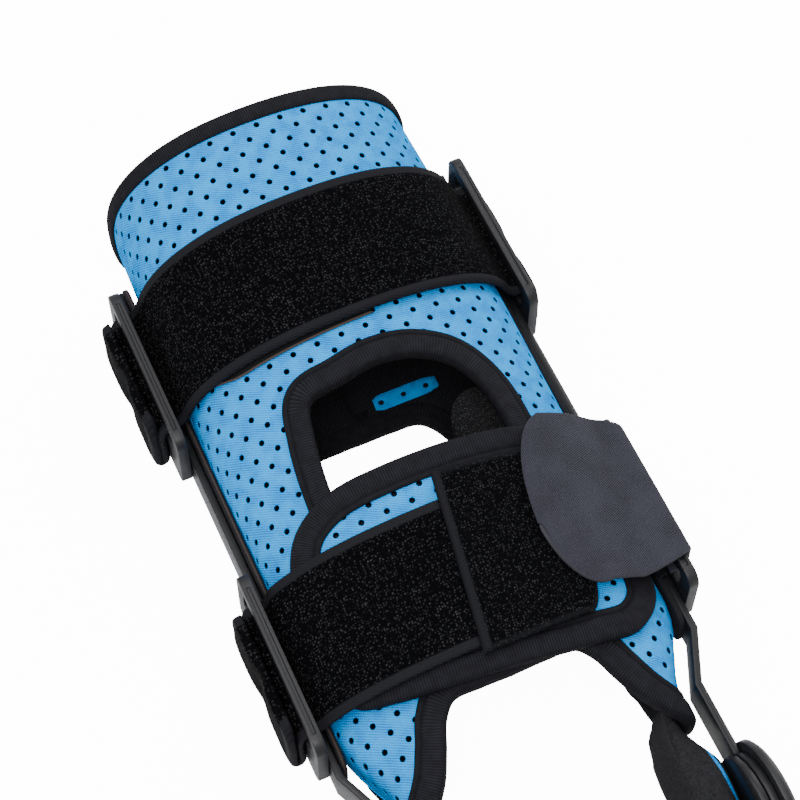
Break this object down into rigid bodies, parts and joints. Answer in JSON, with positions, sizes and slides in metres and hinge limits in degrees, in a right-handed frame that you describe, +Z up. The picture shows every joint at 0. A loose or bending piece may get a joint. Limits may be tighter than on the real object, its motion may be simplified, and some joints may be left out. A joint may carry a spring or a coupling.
{
  "type": "hinged knee brace",
  "caption": "Full-length hinged knee brace: perforated padded wraps with a front window, webbing straps in side loops and flat uprights that pivot at the knee.",
  "frame": {"origin": "on the floor below the knee hinge, in the middle of the brace as it lies on its back", "axes": "+Z up out of the front of the leg; +Y along the leg towards the thigh rim; X across the leg, along the hinge axis"},
  "size_m": [0.152, 0.576, 0.0816],
  "materials": {
    "knit": "sky-blue perforated spacer knit with fine slanting ribs",
    "binding": "black ribbed knit binding tape",
    "pile": "black brushed loop pile",
    "hook": "dark grey moulded hook tape with a fine slanting rib",
    "foam": "thin foam pad faced with black cloth",
    "frame": "dark anodised satin flat bar",
    "cover": "black satin moulded plastic"
  },
  "bodies": {
    "thigh": {"thigh_liner": "knit", "thigh_rim_binding": "binding", "thigh_knee_binding": "binding", "window_binding": "binding", "thigh_flap": "knit", "flap_binding": "binding", "inner_hook_pad": "pile", "thigh_upper_strap": "pile", "upper_strap_backing": "pile", "thigh_lower_strap": "pile", "loop_patch": "pile", "hook_tab": "hook", "thigh_upright_right": "frame", "thigh_upright_left": "frame", "thigh_pad_right": "foam", "thigh_pad_left": "foam", "hinge_cover_right": "cover", "hinge_cover_left": "cover", "knee_pad_right": "binding", "knee_pad_left": "binding", "thigh_upper_loop_right": "cover", "thigh_upper_loop_left": "cover", "thigh_lower_loop_right": "cover", "thigh_lower_loop_left": "cover"},
    "calf": {"calf_liner": "knit", "calf_rim_binding": "binding", "calf_knee_binding": "binding", "calf_upper_strap": "pile", "calf_lower_strap": "pile", "calf_upright_right": "frame", "calf_upright_left": "frame", "calf_pad_right": "foam", "calf_pad_left": "foam", "calf_upper_loop_right": "cover", "calf_upper_loop_left": "cover", "calf_lower_loop_right": "cover", "calf_lower_loop_left": "cover"}
  },
  "joints": [
    {"name": "knee", "type": "hinge", "parent": "thigh", "child": "calf", "pos_m": [0, 0, 0.028], "axis": [1, 0, 0], "range_deg": [0, 110]}
  ]
}
